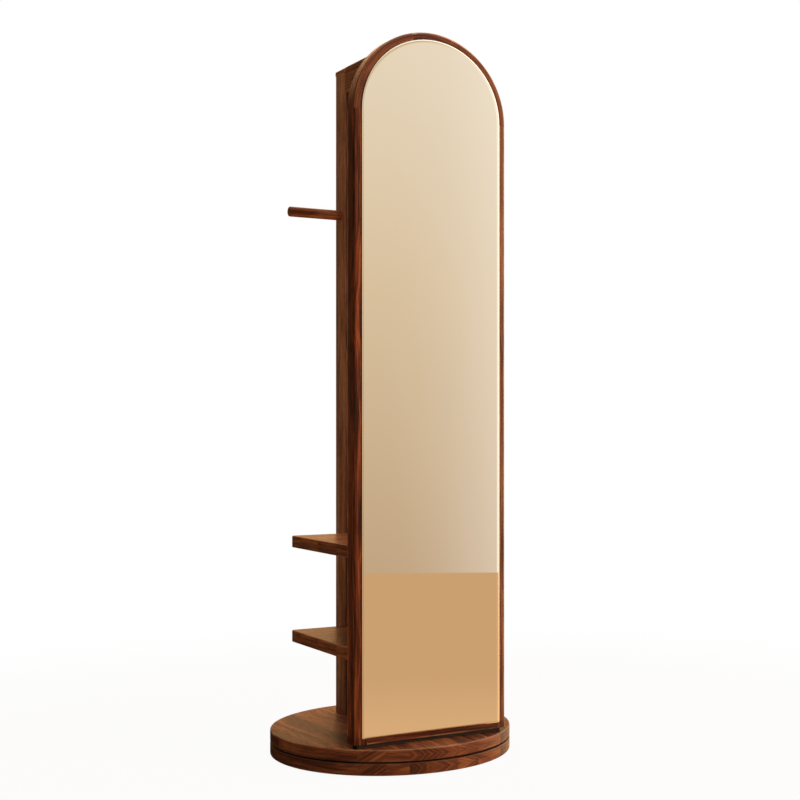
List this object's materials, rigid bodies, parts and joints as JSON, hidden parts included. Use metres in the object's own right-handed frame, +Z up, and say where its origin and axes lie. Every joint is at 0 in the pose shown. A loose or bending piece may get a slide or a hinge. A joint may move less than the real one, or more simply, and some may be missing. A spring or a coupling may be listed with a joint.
{
  "type": "rotating floor mirror with clothes rack",
  "caption": "Arched full-length bevelled mirror in a walnut frame on a turntable base, with shelves and a clothes rail on a column behind it.",
  "frame": {"origin": "on the floor, under the middle of the round base", "axes": "+Z up along the turning axis; the glass faces -Y; +X to the right of someone who looks into the mirror"},
  "size_m": [0.5799, 0.58, 1.702],
  "materials": {
    "walnut": "satin lacquer",
    "dark_stained_wood": "matt stain",
    "beech": "bare, fine sanded",
    "fibreboard": "bare board",
    "mirror": "silvered, bevelled edge",
    "black_rubber": "matt",
    "bearing_steel": "ground",
    "polished_steel": "polished",
    "zinc_plated_steel": "zinc plated",
    "black_steel": "black oxide",
    "brass": "turned",
    "white_nylon": "natural"
  },
  "bodies": {
    "base": {"base_disc": "walnut", "foot_pads": "black_rubber", "foot_pad_screws": "zinc_plated_steel", "bearing_lower_ring": "bearing_steel", "bearing_lower_screws": "zinc_plated_steel", "pivot_bush": "white_nylon"},
    "bearing_cage": {"bearing_ball_cage": "bearing_steel", "bearing_balls": "polished_steel"},
    "turntable": {"turntable_disc": "walnut", "frame_stile_left": "walnut", "frame_stile_right": "walnut", "frame_lower_rail": "walnut", "frame_arch_left": "walnut", "frame_arch_crown": "walnut", "frame_arch_right": "walnut", "lower_shelf": "walnut", "upper_shelf": "walnut", "top_stretcher": "walnut", "column_side_left": "walnut", "column_side_right": "walnut", "column_front_board": "walnut", "column_back_board": "walnut", "column_cap": "walnut", "clothes_rail": "walnut", "back_panel": "walnut", "frame_plinth": "dark_stained_wood", "frame_dowels": "beech", "lower_shelf_dowels": "beech", "upper_shelf_dowels": "beech", "stretcher_dowels": "beech", "column_foot_block": "beech", "column_rail_block": "beech", "column_top_block": "beech", "column_lower_block": "beech", "column_upper_block": "beech", "backing_panel": "fibreboard", "bearing_upper_ring": "bearing_steel", "lower_shelf_bolts": "black_steel", "upper_shelf_bolts": "black_steel", "stretcher_bolts": "black_steel", "rail_screw": "black_steel", "back_panel_screws": "black_steel", "bearing_upper_screws": "zinc_plated_steel", "pivot_bolt": "zinc_plated_steel", "pivot_washer": "zinc_plated_steel", "frame_bolts": "zinc_plated_steel", "column_bolts": "zinc_plated_steel", "lower_shelf_nuts": "zinc_plated_steel", "upper_shelf_nuts": "zinc_plated_steel", "stretcher_nuts": "zinc_plated_steel", "column_nuts": "zinc_plated_steel", "lower_shelf_screws": "zinc_plated_steel", "upper_shelf_screws": "zinc_plated_steel", "stretcher_screws": "zinc_plated_steel", "pivot_insert": "brass", "frame_sleeves": "brass", "mirror_glass": "mirror"}
  },
  "joints": [
    {"name": "turntable_spin", "type": "hinge", "parent": "base", "child": "turntable", "pos_m": [0, 0, 0.0315], "axis": [0, 0, 1], "continuous": true},
    {"name": "cage_spin", "type": "hinge", "parent": "base", "child": "bearing_cage", "pos_m": [0, 0, 0.0315], "axis": [0, 0, 1], "continuous": true}
  ],
  "couplings": [
    {"joint": "cage_spin", "follows": "turntable_spin", "ratio": 0.5}
  ]
}
